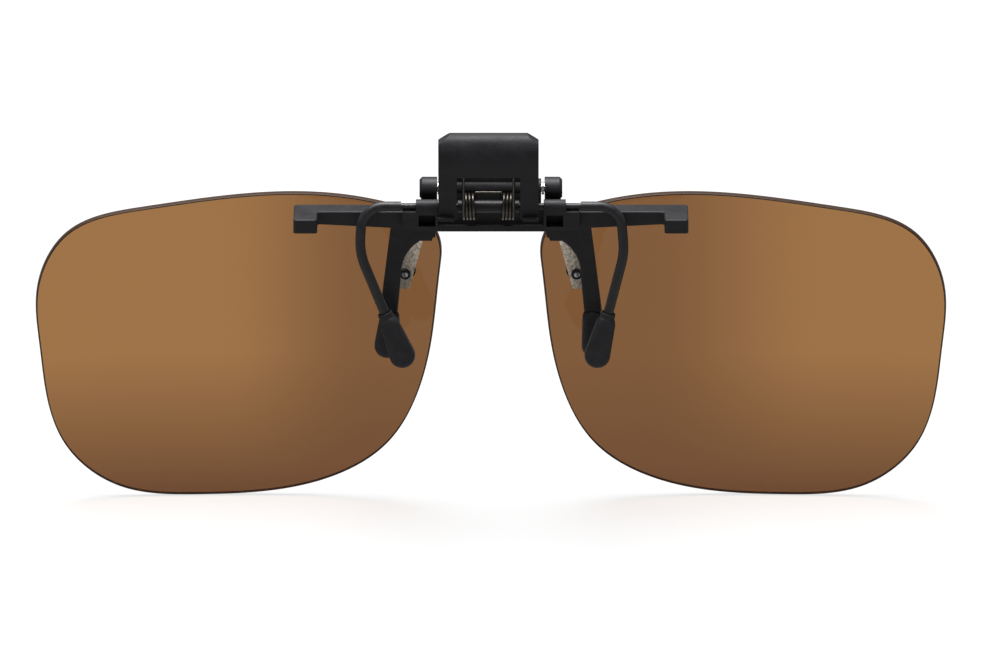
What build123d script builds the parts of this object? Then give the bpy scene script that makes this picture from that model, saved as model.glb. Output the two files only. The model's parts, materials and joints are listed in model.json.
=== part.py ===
from build123d import *
import math
import os

# Clip-on flip-up sunglasses, in millimetres. +X runs across the lenses to the wearer's right,
# +Y points away from the wearer and +Z is up. The origin is the middle of the clamp's gap, level
# with the top of the spectacle rim, which the clamp's two feet sit on.

# Lenses: a rimless shape cut from a shallow sphere
LENS_CENTRE_X = 37.4
LENS_CENTRE_Z = -21.2
LENS_FRONT_Y = 10.3
LENS_RADIUS = 200.0
LENS_THICKNESS = 1.1
# Outline of the +X lens about its own centre: nose edge, over the top, temple edge, bottom
LENS_OUTLINE = [
    (-30.1, 13.8), (-28.4, 19.8), (-22.0, 22.6), (-5.8, 23.9), (13.8, 21.6), (25.2, 18.0),
    (29.8, 9.5), (29.6, -0.1), (26.0, -15.6), (18.4, -22.1), (6.4, -23.8), (-11.9, -21.6),
    (-22.4, -15.1), (-28.0, -2.6),
]

BLANK_DEPTH = 15.0

# Front clamp half: bar, feet and legs
BAR_HALF = 29.0
BAR_REAR_Y = 1.2
BAR_DEPTH = 3.3
BAR_TOP_Z = 2.1
BAR_BOTTOM_Z = 0.15  # at its ends, so that the feet alone touch the rim
BAR_DEEP_X = 15.0  # from here inwards the bar is at its deepest
BAR_DEEP_Z = -0.4
FOOT_WIDTH = 3.5
FOOT_REACH = 3.7
CORNER_RADIUS = 0.5
EDGE_RADIUS = 0.25
LIP_HALF = 8.7
LIP_BOTTOM_Z = -1.0
LIP_HEIGHT = 0.9
LIP_DEPTH = 0.6
RECESS_DEPTH = 1.4
LEG_THICKNESS = 1.8
LEG_INNER = [(8.2, 0.5), (8.2, -1.0), (8.7, -2.45), (10.3, -2.45)]  # root, then the step
LEG_HOLLOW = [(10.3, -2.45), (12.3, -4.4), (13.2, -7.6)]  # the arc below the step
LEG_END = [(13.2, -7.6), (13.75, -13.6), (16.35, -13.6), (14.6, 0.5), (8.2, 0.5)]  # then up again
TONGUE_THICKNESS = 0.9
TONGUE_WIDTH = 1.8
TONGUE_TOP_Z = -13.0
TONGUE_BOTTOM_Z = -19.2

# Clamp axle, which the rear wire turns on
AXLE_Y = -0.3
AXLE_Z = 3.45
LUG_RADIUS = 1.05
LUG_INNER_X = 7.75
LUG_OUTER_X = 11.0
LUG_WALL = 0.4
POCKET_BOTTOM_Z = 0.6
POCKET_TOP_Z = 2.4
SADDLE_OUTER_X = 13.0
SADDLE_TOP_Z = 2.9
RUNNING_CLEARANCE = 0.05
SWING_RADIUS = 2.6

# Flip pin and the knuckles of the lens carrier
PIN_Y = 3.4
PIN_Z = 5.0
PIN_RADIUS = 0.55
PIN_HALF = 10.3
PIN_CHAMFER = 0.15
BOSS_RADIUS = 1.45
BOSS_HALF = 7.4
KNUCKLE_RADIUS = 1.7
KNUCKLE_INNER_X = 7.9
KNUCKLE_OUTER_X = 10.5
KNUCKLE_CHAMFER = 0.4
WASHER_RADIUS = 0.95
WASHER_THICKNESS = 0.35
PLATE_HALF = 6.3
PLATE_TOP_Z = 12.0
PLATE_BOTTOM_Z = 1.0
PLATE_KNEE_Z = 6.0  # the plate is upright up to here, then leans forward
PLATE_LEAN = 0.5
PLATE_THICKNESS = 1.5
PLATE_FOOT_THICKNESS = 1.9
PLATE_CORNER_RADIUS = 2.0
PLATE_RIM_RADIUS = 0.4

# Thumb lever
LEVER_HALF = 7.35
LEVER_OFFSET = -0.35  # the lever takes up its side play against its -X lug
LEVER_THICKNESS = 1.3
LEVER_FOOT = (-1.95, 2.3)  # middle of the plate's thickness, as (y, z), from its foot
LEVER_BEND = (-2.9, 8.6)
LEVER_ROLL = [(-3.65, 12.2), (-3.0, 14.1), (-1.3, 14.75)]
LEVER_TANGENTS = [(-0.15, 1), (1, 0.05)]
LEVER_TOP_RADIUS = 0.45
CORNER_LOW_Z = 14.2
CORNER_HIGH_Z = 15.5
CORNER_WIDTH = 2.0
WINDOW_HALF = 4.65
WINDOW_TOP_Z = 9.0
CHEEK_INNER_X = 5.0
CHEEK_OUTLINE = [(-3.0, 8.2), (-2.45, 2.2), (-0.9, 2.2), (0.85, 3.1), (0.6, 4.6), (-1.4, 8.2)]
CHEEK_RADIUS = 1.25
LEDGE_REAR_Y = -3.6
LEDGE_BOTTOM_Z = 2.2
LEDGE_TOP_Z = 2.65

# Rear wire, its sleeving and the spring round its middle
WIRE_RADIUS = 0.5
SLEEVE_RADIUS = 0.73
SLEEVE_START_X = 13.2
WIRE_BEND_RADIUS = 3.4
WIRE_KNEE_RADIUS = 9.0
BUSH_RADIUS = 0.95
BUSH_HALF = 4.5
SPRING_WIRE_RADIUS = 0.22
SPRING_CORNER_RADIUS = 0.5
SPRING_CLEARANCE = 0.02
SPRING_MEAN_RADIUS = 1.8
SPRING_TURNS = 3.5
SPRING_PITCH = 0.5
SPRING_INNER_X = 1.95
SPRING_LEG_TOP_Z = 10.2
SPRING_RISER = 0.5
SPRING_RISER_RADIUS = 0.8
SPRING_BRIDGE_Z = 4.9
PAD_CENTRE_Y = 2.15

# Where the wire turns down, where it turns in, and where it ends, for the -X and +X legs. They are
# bent by hand, so the -X one is turned in a little more than the +X one.
WIRE_CORNER = {-1: (-18.9, AXLE_Y, AXLE_Z), 1: (19.0, AXLE_Y, AXLE_Z)}
WIRE_KNEE = {-1: (-19.3, -1.9, -3.2), 1: (19.6, -1.9, -3.2)}
WIRE_END = {-1: (-13.1, -PAD_CENTRE_Y, -19.0), 1: (15.7, -PAD_CENTRE_Y, -19.0)}

# Rubber pads: paddles with a round top and a wider round foot
PAD_THICKNESS = 2.2
PAD_TOP_RADIUS = 1.45
PAD_FOOT_RADIUS = 1.9
PAD_EDGE_RADIUS = 0.8
FRONT_PAD_TOP = (14.95, -14.8)  # centres of the circles that a pad's outline is wrapped round
FRONT_PAD_FOOT = (15.3, -19.1)
REAR_PAD_TOP_Z = -14.3
REAR_PAD_FOOT_Z = -19.1
COLLAR_TOP_Z = -12.5
COLLAR_RADIUS = 1.1
COLLAR_EDGE_RADIUS = 0.12
MOUTH_RADIUS = 0.92  # the collar opens out round the sleeving
MOUTH_DEPTH = 0.5
SLEEVE_END_Z = -13.6

# Lens carrier: bridge, tabs and lens fixings
BRIDGE_REAR_Y = 4.8
BRIDGE_THICKNESS = 1.0
ARM_INNER_X = 8.2
ARM_OUTER_X = 10.3
CROSSBAR_HALF = 1.0
BRIDGE_FOOT_X0 = 9.6
BRIDGE_FOOT_X1 = 12.6
ARM_BOTTOM_Z = -3.2
TAB_THICKNESS = 0.5
TAB_OUTLINE = [(9.2, -0.8), (13.0, -0.8), (14.7, -8.6), (14.5, -11.0), (13.8, -12.0), (12.1, -12.0)]
TAB_RIVET = (11.2, -2.2)
RIVET_RADIUS = 0.5
RIVET_HEAD_RADIUS = 0.85
RIVET_HEAD_HEIGHT = 0.3
RIVET_GAP = 0.05
SCREWS = [(12.6, -9.6), (13.4, -6.0)]
SCREW_RADIUS = 0.5
SCREW_HEAD_RADIUS = 1.1
SCREW_HEAD_HEIGHT = 0.6
SCREW_HEAD_EDGE = 0.35
SCREW_END = 0.05
SLOT_WIDTH = 0.3
SLOT_DEPTH = 0.25
NUT_RADIUS = 0.8
NUT_HEIGHT = 0.4
NUT_CHAMFER = 0.12
LENS_WASHER_RADIUS = 1.35
LENS_WASHER_THICKNESS = 0.25

PARTS_FOLDER = "parts"
SIDES = {"left": -1, "right": 1}


def sided(side, shape):
    """A shape drawn on the +X side, mirrored for the other side."""
    return shape if side > 0 else mirror(shape, about=Plane.YZ)


def both(shape):
    """The shape and its mirror image as one."""
    return shape + mirror(shape, about=Plane.YZ)


def block(x0, x1, y0, y1, z0, z1):
    """A box between two corners."""
    return Pos((x0 + x1) / 2, (y0 + y1) / 2, (z0 + z1) / 2) * Box(x1 - x0, y1 - y0, z1 - z0)


def rod(radius, x0, x1, y, z):
    """A round bar along X."""
    place = Pos((x0 + x1) / 2, y, z) * Rot(0, 90, 0)
    return place * Cylinder(radius, x1 - x0)


def side_profile(sketch, x0, x1):
    """A sketch drawn with Y across and Z up, drawn out along X."""
    plane = Plane(origin=(x0, 0, 0), x_dir=(0, 1, 0), z_dir=(1, 0, 0))
    return extrude(plane * sketch, x1 - x0)


def front_profile(sketch, y0, y1):
    """A sketch drawn with X across and Z up, drawn out along Y."""
    plane = Plane(origin=(0, y1, 0), x_dir=(1, 0, 0), z_dir=(0, -1, 0))
    return extrude(plane * sketch, y1 - y0)


def filled(*edges):
    """A face inside a closed run of edges."""
    return make_face(Wire(list(edges)))


# ---------------------------------------------------------------- front clamp half

def bar_with_feet():
    """The flat bar that sits on the spectacle rim, with a foot reaching back at each end."""
    front_y = BAR_REAR_Y + BAR_DEPTH
    foot_x = BAR_HALF - FOOT_WIDTH
    half_outline = Polyline(
        (0, BAR_TOP_Z), (BAR_HALF, BAR_TOP_Z), (BAR_HALF, BAR_BOTTOM_Z), (foot_x, BAR_BOTTOM_Z),
        (BAR_DEEP_X, BAR_DEEP_Z), (0, BAR_DEEP_Z), close=True,
    )
    bar = both(front_profile(make_face(half_outline), BAR_REAR_Y, front_y))
    foot = block(foot_x, BAR_HALF, BAR_REAR_Y - FOOT_REACH, front_y, 0, BAR_TOP_Z)
    solid = bar + both(foot)
    uprights = [e for e in solid.edges().filter_by(Axis.Z) if abs(e.center().X) > foot_x - 1]
    solid = fillet(uprights, CORNER_RADIUS)
    return fillet(solid.faces().sort_by(Axis.Z)[-1].edges(), EDGE_RADIUS)


def leg():
    """One front leg: a broad root with a step, a hollow curve, and a tongue inside the pad."""
    outline = Polyline(LEG_INNER) + ThreePointArc(LEG_HOLLOW) + Polyline(LEG_END)
    blade = front_profile(make_face(outline), BAR_REAR_Y, BAR_REAR_Y + LEG_THICKNESS)
    rear_edges = blade.faces().sort_by(Axis.Y)[0].edges()
    rims = [e for e in rear_edges if e.center().Z < LIP_BOTTOM_Z - 0.5 and e.length > 2]
    blade = fillet(rims, EDGE_RADIUS)
    return blade + tongue()


def tongue():
    """The thin end of a front leg, which the pad is pushed over."""
    middle_x = (FRONT_PAD_TOP[0] + FRONT_PAD_FOOT[0]) / 2
    half = TONGUE_WIDTH / 2
    rear_y = PAD_CENTRE_Y - TONGUE_THICKNESS / 2
    front_y = PAD_CENTRE_Y + TONGUE_THICKNESS / 2
    return block(middle_x - half, middle_x + half, rear_y, front_y, TONGUE_BOTTOM_Z, TONGUE_TOP_Z)


def axle_lug():
    """The bearing lug at one side of the lever, hollow below the axle."""
    base = Polyline(
        (AXLE_Y - LUG_RADIUS, AXLE_Z), (AXLE_Y - LUG_RADIUS, 0), (BAR_REAR_Y + 1, 0),
        (BAR_REAR_Y + 1, BAR_TOP_Z), (AXLE_Y + LUG_RADIUS, AXLE_Z), close=True,
    )
    sketch = make_face(base) + Pos(AXLE_Y, AXLE_Z) * Circle(LUG_RADIUS)
    lug = side_profile(sketch, LUG_INNER_X, LUG_OUTER_X)
    pocket = block(
        LUG_INNER_X + LUG_WALL, LUG_OUTER_X - LUG_WALL, AXLE_Y - 2, AXLE_Y + LUG_RADIUS,
        POCKET_BOTTOM_Z, POCKET_TOP_Z,
    )
    bore = rod(WIRE_RADIUS + RUNNING_CLEARANCE, LUG_INNER_X - 1, SADDLE_OUTER_X + 1, AXLE_Y, AXLE_Z)
    saddle = block(LUG_OUTER_X, SADDLE_OUTER_X, AXLE_Y - LUG_RADIUS, BAR_REAR_Y + 1, 0, SADDLE_TOP_Z)
    return lug + saddle - pocket - bore


def finger_plate():
    """The fixed plate in front of the lever, with the boss that holds the flip pin."""
    rear_y = BAR_REAR_Y + RECESS_DEPTH
    foot_y = rear_y + PLATE_FOOT_THICKNESS
    top_y = rear_y + PLATE_LEAN
    front_y = top_y + PLATE_THICKNESS
    profile = filled(
        Line((rear_y, PLATE_BOTTOM_Z), (rear_y, PLATE_KNEE_Z)),
        Spline((rear_y, PLATE_KNEE_Z), (rear_y + 0.1, 9), (top_y, PLATE_TOP_Z)),
        Line((top_y, PLATE_TOP_Z), (front_y, PLATE_TOP_Z)),
        Spline((front_y, PLATE_TOP_Z), (foot_y - 0.2, 9), (foot_y, PLATE_KNEE_Z)),
        Line((foot_y, PLATE_KNEE_Z), (foot_y, PLATE_BOTTOM_Z)),
        Line((foot_y, PLATE_BOTTOM_Z), (rear_y, PLATE_BOTTOM_Z)),
    )
    plate = side_profile(profile, -PLATE_HALF, PLATE_HALF)
    corners = [e for e in plate.edges().filter_by(Axis.Y) if e.center().Z > PLATE_TOP_Z - 0.1]
    plate = fillet(corners, PLATE_CORNER_RADIUS)
    rim = [e for e in plate.edges() if e.center().Z > PLATE_TOP_Z - PLATE_CORNER_RADIUS - 0.1]
    rim = [e for e in rim if e.bounding_box().size.Y < 0.9 and e.bounding_box().size.X > 0.5]
    plate = fillet(rim, PLATE_RIM_RADIUS)
    boss = rod(BOSS_RADIUS, -BOSS_HALF, BOSS_HALF, PIN_Y, PIN_Z)
    web = block(-BOSS_HALF, BOSS_HALF, rear_y, BAR_REAR_Y + BAR_DEPTH, BAR_TOP_Z - 0.5, PIN_Z)
    return plate + boss + web


def clamp_body():
    """The moulded front half of the clamp."""
    front_y = BAR_REAR_Y + BAR_DEPTH
    recess_y = BAR_REAR_Y + RECESS_DEPTH
    beam = block(-LIP_HALF, LIP_HALF, BAR_REAR_Y, front_y, LIP_BOTTOM_Z, 0.5)
    recess = block(-LUG_INNER_X, LUG_INNER_X, BAR_REAR_Y - 1, recess_y, LIP_BOTTOM_Z - 1, BAR_TOP_Z + 1)
    lip_y = BAR_REAR_Y + LIP_DEPTH
    lip = block(-LIP_HALF, LIP_HALF, BAR_REAR_Y, lip_y, LIP_BOTTOM_Z, LIP_BOTTOM_Z + LIP_HEIGHT)
    body = bar_with_feet() + beam - recess + lip
    body = body + both(leg()) + both(axle_lug()) + finger_plate()
    pin_hole = rod(PIN_RADIUS, -BOSS_HALF - 1, BOSS_HALF + 1, PIN_Y, PIN_Z)
    sweep_room = rod(SWING_RADIUS, -LUG_INNER_X, LUG_INNER_X, AXLE_Y, AXLE_Z)
    return body - pin_hole - sweep_room


def paddle(top, foot, middle_y):
    """A rubber pad: the hull of a small circle over a large one, with rounded edges."""
    circles = Pos(*top) * Circle(PAD_TOP_RADIUS) + Pos(*foot) * Circle(PAD_FOOT_RADIUS)
    outline = make_hull(circles.edges())
    half = PAD_THICKNESS / 2
    solid = front_profile(outline, middle_y - half, middle_y + half)
    rims = solid.faces().sort_by(Axis.Y)[0].edges() + solid.faces().sort_by(Axis.Y)[-1].edges()
    return fillet(rims, PAD_EDGE_RADIUS)


def front_pad():
    """A front pad with the pocket that the leg's tongue fills."""
    return paddle(FRONT_PAD_TOP, FRONT_PAD_FOOT, PAD_CENTRE_Y) - leg()


def flip_pin():
    """The steel pin that the lens carrier turns on."""
    pin = rod(PIN_RADIUS, -PIN_HALF, PIN_HALF, PIN_Y, PIN_Z)
    return chamfer(pin.edges().filter_by(GeomType.CIRCLE), PIN_CHAMFER)


def spring_washers():
    """The two friction washers between the boss and the knuckles."""
    x0 = (BOSS_HALF + KNUCKLE_INNER_X - WASHER_THICKNESS) / 2
    washer = rod(WASHER_RADIUS, x0, x0 + WASHER_THICKNESS, PIN_Y, PIN_Z)
    washer = washer - rod(PIN_RADIUS, 0, PIN_HALF, PIN_Y, PIN_Z)
    return Compound(children=[washer, mirror(washer, about=Plane.YZ)])


# ---------------------------------------------------------------- rear clamp half

def along(start, end, z):
    """The point at height z on the line from start to end."""
    t = (z - start[2]) / (end[2] - start[2])
    return tuple(a + t * (b - a) for a, b in zip(start, end))


def swept(path, radius):
    """A round bar along a path."""
    return sweep(Plane(origin=path @ 0, z_dir=path % 0) * Circle(radius), path=path)


def rear_wire():
    """One steel wire: leg, straight middle, leg."""
    path = FilletPolyline(
        WIRE_END[-1], WIRE_KNEE[-1], WIRE_CORNER[-1], WIRE_CORNER[1], WIRE_KNEE[1], WIRE_END[1],
        radius=[WIRE_KNEE_RADIUS, WIRE_BEND_RADIUS, WIRE_BEND_RADIUS, WIRE_KNEE_RADIUS],
    )
    return swept(path, WIRE_RADIUS)


def wire_sleeve(side):
    """The sleeving on one leg, from beside the lug down into the pad's socket."""
    end = along(WIRE_KNEE[side], WIRE_END[side], SLEEVE_END_Z)
    path = FilletPolyline(
        (side * SLEEVE_START_X, AXLE_Y, AXLE_Z), WIRE_CORNER[side], WIRE_KNEE[side], end,
        radius=[WIRE_BEND_RADIUS, WIRE_KNEE_RADIUS],
    )
    return swept(path, SLEEVE_RADIUS) - swept(path, WIRE_RADIUS)


def rear_pad(side):
    """A rear pad with a round collar and an open mouth, hung on the end of the wire."""
    knee, end = WIRE_KNEE[side], WIRE_END[side]
    top = along(knee, end, REAR_PAD_TOP_Z)
    foot = along(knee, end, REAR_PAD_FOOT_Z)
    pad = paddle((top[0], top[2]), (foot[0], foot[2]), -PAD_CENTRE_Y)
    collar = swept(Line(along(knee, end, COLLAR_TOP_Z), top), COLLAR_RADIUS)
    collar = fillet(collar.edges().filter_by(GeomType.CIRCLE), COLLAR_EDGE_RADIUS)
    above = along(knee, end, COLLAR_TOP_Z + 1)
    mouth = swept(Line(above, along(knee, end, COLLAR_TOP_Z - MOUTH_DEPTH)), MOUTH_RADIUS)
    sleeve_hole = swept(Line(above, along(knee, end, SLEEVE_END_Z)), SLEEVE_RADIUS)
    wire_hole = swept(Line(above, end), WIRE_RADIUS)
    return pad + collar - mouth - sleeve_hole - wire_hole


def thumb_lever():
    """The thumb lever: a rolled plate with a window, and two cheeks that hold the wire."""
    middle = Wire([Line(LEVER_FOOT, LEVER_BEND), Spline(LEVER_BEND, *LEVER_ROLL, tangents=LEVER_TANGENTS)])
    shell = side_profile(trace(middle, LEVER_THICKNESS), -LEVER_HALF, LEVER_HALF)
    outside_x = LEVER_HALF + 1
    corner_cut = Polyline(
        (LEVER_HALF, CORNER_LOW_Z), (LEVER_HALF - CORNER_WIDTH, CORNER_HIGH_Z),
        (outside_x, CORNER_HIGH_Z), (outside_x, CORNER_LOW_Z), close=True,
    )
    shell = shell - both(front_profile(make_face(corner_cut), -8, 4))
    shell = fillet(shell.edges().filter_by(Axis.X).sort_by(Axis.Z)[-2:], LEVER_TOP_RADIUS)
    cheek_sketch = make_face(Polyline(CHEEK_OUTLINE, close=True))
    cheek_sketch = cheek_sketch + Pos(AXLE_Y, AXLE_Z) * Circle(CHEEK_RADIUS)
    cheek = side_profile(cheek_sketch, CHEEK_INNER_X, LEVER_HALF)
    ledge = block(CHEEK_INNER_X, LEVER_HALF, LEDGE_REAR_Y, LEVER_FOOT[0], LEDGE_BOTTOM_Z, LEDGE_TOP_Z)
    window = block(-WINDOW_HALF, WINDOW_HALF, -8, 2, 0, WINDOW_TOP_Z)
    wire_hole = rod(WIRE_RADIUS, -LEVER_HALF - 1, LEVER_HALF + 1, AXLE_Y, AXLE_Z)
    lever = (shell - window) + both(cheek) + both(ledge) - wire_hole
    return Pos(LEVER_OFFSET, 0, 0) * lever


def spring_bush():
    """The bush on the wire inside the spring."""
    bush = rod(BUSH_RADIUS, -BUSH_HALF, BUSH_HALF, AXLE_Y, AXLE_Z)
    bore = rod(WIRE_RADIUS, -BUSH_HALF - 1, BUSH_HALF + 1, AXLE_Y, AXLE_Z)
    return Pos(LEVER_OFFSET, 0, 0) * (bush - bore)


def spring_side():
    """The run of wire on the +X side of the spring: its coil, then its leg up the lever."""
    front_y = AXLE_Y + SPRING_MEAN_RADIUS
    rear_y = AXLE_Y - SPRING_MEAN_RADIUS
    low, high = AXLE_Z - SPRING_MEAN_RADIUS, AXLE_Z + SPRING_MEAN_RADIUS
    quarters = [(front_y, AXLE_Z), (AXLE_Y, low), (rear_y, AXLE_Z), (AXLE_Y, high)]
    count = round(4 * SPRING_TURNS)
    points = [(SPRING_INNER_X + k * SPRING_PITCH / 4, *quarters[k % 4]) for k in range(count + 1)]
    coil = [ThreePointArc(*points[k:k + 3]) for k in range(0, count, 2)]
    end = points[-1]
    return coil + [Line(end, (end[0], end[1], SPRING_LEG_TOP_Z))]


def torsion_spring():
    """A double torsion spring from one wire: two coils, a bridge behind the boss, and two legs."""
    front_y = AXLE_Y + SPRING_MEAN_RADIUS
    bend_z = AXLE_Z + SPRING_RISER
    bridge_y = PIN_Y - BOSS_RADIUS - SPRING_WIRE_RADIUS - SPRING_CLEARANCE
    x = SPRING_INNER_X
    bridge = FilletPolyline(
        (x, front_y, AXLE_Z), (x, front_y, bend_z), (x, bridge_y, SPRING_BRIDGE_Z),
        (-x, bridge_y, SPRING_BRIDGE_Z), (-x, front_y, bend_z), (-x, front_y, AXLE_Z),
        radius=[SPRING_RISER_RADIUS, SPRING_CORNER_RADIUS, SPRING_CORNER_RADIUS, SPRING_RISER_RADIUS],
    )
    side = spring_side()
    runs = side + [mirror(run, about=Plane.YZ) for run in side] + [bridge]
    wire = Wire([edge for run in runs for edge in run.edges()])
    return Pos(LEVER_OFFSET, 0, 0) * swept(wire, SPRING_WIRE_RADIUS)


# ---------------------------------------------------------------- lens carrier

def ball(radius):
    """A ball about the centre of the +X lens's sphere."""
    return Pos(LENS_CENTRE_X, LENS_FRONT_Y - LENS_RADIUS, LENS_CENTRE_Z) * Sphere(radius)


def at_lens(x, z, radius):
    """A plane on the sphere of this radius, square to the +X lens where its back is at (x, z)."""
    centre = Vector(LENS_CENTRE_X, LENS_FRONT_Y - LENS_RADIUS, LENS_CENTRE_Z)
    across = Vector(x - centre.X, 0, z - centre.Z)
    back = LENS_RADIUS - LENS_THICKNESS
    outwards = Vector(across.X, math.sqrt(back ** 2 - across.length ** 2), across.Z) / back
    return Plane(origin=centre + outwards * radius, z_dir=outwards)


def stud(x, z, radius, low, high):
    """A round bar square to the lens, between two sphere radii."""
    align = (Align.CENTER, Align.CENTER, Align.MIN)
    return at_lens(x, z, low) * Cylinder(radius, high - low, align=align)


def screw_holes():
    """The holes for the lens screws, through lens and tab."""
    low = LENS_RADIUS - 5
    holes = [stud(x, z, SCREW_RADIUS, low, LENS_RADIUS + 1) for x, z in SCREWS]
    return holes[0] + holes[1]


def lens():
    """The +X lens."""
    points = [(LENS_CENTRE_X + x, LENS_CENTRE_Z + z) for x, z in LENS_OUTLINE]
    blank = front_profile(make_face(Spline(points, periodic=True)), 0, BLANK_DEPTH)
    shell = (blank & ball(LENS_RADIUS)) - ball(LENS_RADIUS - LENS_THICKNESS)
    return shell - screw_holes()


def tab_blank():
    """The +X tab before it is drilled, pressed to the curve of the lens's back."""
    back = LENS_RADIUS - LENS_THICKNESS
    blank = front_profile(make_face(Polyline(TAB_OUTLINE, close=True)), 0, BLANK_DEPTH)
    return (blank & ball(back)) - ball(back - TAB_THICKNESS)


def lens_tab():
    """The +X steel tab."""
    return tab_blank() - screw_holes() - rivet()


def rivet():
    """A +X rivet through the bridge's foot and the tab."""
    x, z = TAB_RIVET
    top = LENS_RADIUS - LENS_THICKNESS
    plane = at_lens(x, z, top)
    length = plane.origin.Y - BRIDGE_REAR_Y
    align = (Align.CENTER, Align.CENTER, Align.MIN)
    start = Plane(origin=(x, BRIDGE_REAR_Y, z), z_dir=(0, 1, 0))
    shank = start * Cylinder(RIVET_RADIUS, length - RIVET_GAP, align=align)
    head = start * Cylinder(RIVET_HEAD_RADIUS, RIVET_HEAD_HEIGHT, align=align)
    return shank + head


def flip_bridge():
    """The bridge: two knuckles on the flip pin, two arms, a crossbar, and a foot for each tab."""
    front_y = BRIDGE_REAR_Y + BRIDGE_THICKNESS
    knuckle = rod(KNUCKLE_RADIUS, KNUCKLE_INNER_X, KNUCKLE_OUTER_X, PIN_Y, PIN_Z)
    knuckle = chamfer(knuckle.edges().sort_by(Axis.X)[-1], KNUCKLE_CHAMFER)
    arm_outline = Polyline(
        (PIN_Y, PIN_Z - 1.4), (BRIDGE_REAR_Y, PIN_Z - 1.4), (BRIDGE_REAR_Y, ARM_BOTTOM_Z),
        (front_y, ARM_BOTTOM_Z), (front_y, PIN_Z - 0.9), (PIN_Y + 1.2, PIN_Z + 1.2), (PIN_Y, PIN_Z),
        close=True,
    )
    arm = side_profile(make_face(arm_outline), ARM_INNER_X, ARM_OUTER_X)
    crossbar = block(0, ARM_INNER_X + 0.5, BRIDGE_REAR_Y, front_y, -CROSSBAR_HALF, CROSSBAR_HALF)
    foot = block(BRIDGE_FOOT_X0, BRIDGE_FOOT_X1, BRIDGE_REAR_Y, front_y + 3, ARM_BOTTOM_Z, -CROSSBAR_HALF)
    foot = foot & ball(LENS_RADIUS - LENS_THICKNESS - TAB_THICKNESS)
    half = knuckle + arm + crossbar + foot - tab_blank()
    bore = rod(PIN_RADIUS + RUNNING_CLEARANCE, 0, PIN_HALF + 2, PIN_Y, PIN_Z)
    return both(half - bore - rivet())


def lens_screw(x, z):
    """A screw through washer, lens and tab into its nut, with a slotted domed head."""
    back = LENS_RADIUS - LENS_THICKNESS - TAB_THICKNESS
    seat = LENS_RADIUS + LENS_WASHER_THICKNESS
    shank = stud(x, z, SCREW_RADIUS, back - NUT_HEIGHT - SCREW_END, seat)
    head = stud(x, z, SCREW_HEAD_RADIUS, seat, seat + SCREW_HEAD_HEIGHT)
    head = fillet(head.edges().sort_by(Axis.Y)[-1], SCREW_HEAD_EDGE)
    cutter = Box(3 * SCREW_HEAD_RADIUS, SLOT_WIDTH, 2 * SLOT_DEPTH)
    slot = at_lens(x, z, seat + SCREW_HEAD_HEIGHT) * cutter
    return shank + (head - slot)


def lens_nut(x, z):
    """A round nut on the back of the tab."""
    back = LENS_RADIUS - LENS_THICKNESS - TAB_THICKNESS
    nut = stud(x, z, NUT_RADIUS, back - NUT_HEIGHT, back)
    nut = chamfer(nut.edges().sort_by(Axis.Y)[0], NUT_CHAMFER)
    return nut - stud(x, z, SCREW_RADIUS, back - 2, back + 1)


def lens_washer(x, z):
    """A washer under the screw head, on the front of the lens."""
    ring = stud(x, z, LENS_WASHER_RADIUS, LENS_RADIUS, LENS_RADIUS + LENS_WASHER_THICKNESS)
    return ring - stud(x, z, SCREW_RADIUS, LENS_RADIUS - 1, LENS_RADIUS + 2)


def fixings(make):
    """One fixing at each screw place on both lenses, as separate solids."""
    pieces = [make(x, z) for x, z in SCREWS]
    return Compound(children=pieces + [mirror(p, about=Plane.YZ) for p in pieces])


def pair(make):
    """A piece and its mirror image as separate solids."""
    piece = make()
    return Compound(children=[piece, mirror(piece, about=Plane.YZ)])


def all_parts():
    """Every node's name and shape."""
    parts = {
        "clamp_body": clamp_body(),
        "flip_pin": flip_pin(),
        "spring_washers": spring_washers(),
        "thumb_lever": thumb_lever(),
        "rear_wire": rear_wire(),
        "spring_bush": spring_bush(),
        "torsion_spring": torsion_spring(),
        "flip_bridge": flip_bridge(),
        "tab_rivets": pair(rivet),
        "lens_screws": fixings(lens_screw),
        "lens_nuts": fixings(lens_nut),
        "lens_washers": fixings(lens_washer),
    }
    for name, side in SIDES.items():
        parts[f"front_pad_{name}"] = sided(side, front_pad())
        parts[f"rear_pad_{name}"] = rear_pad(side)
        parts[f"wire_sleeve_{name}"] = wire_sleeve(side)
        parts[f"lens_tab_{name}"] = sided(side, lens_tab())
        parts[f"lens_{name}"] = sided(side, lens())
    return parts


os.makedirs(PARTS_FOLDER, exist_ok=True)
for node, shape in all_parts().items():
    export_step(shape, f"{PARTS_FOLDER}/{node}.step")
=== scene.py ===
import json
import math

import bmesh
import bpy
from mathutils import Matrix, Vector
from mathutils.geometry import delaunay_2d_cdt


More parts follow.
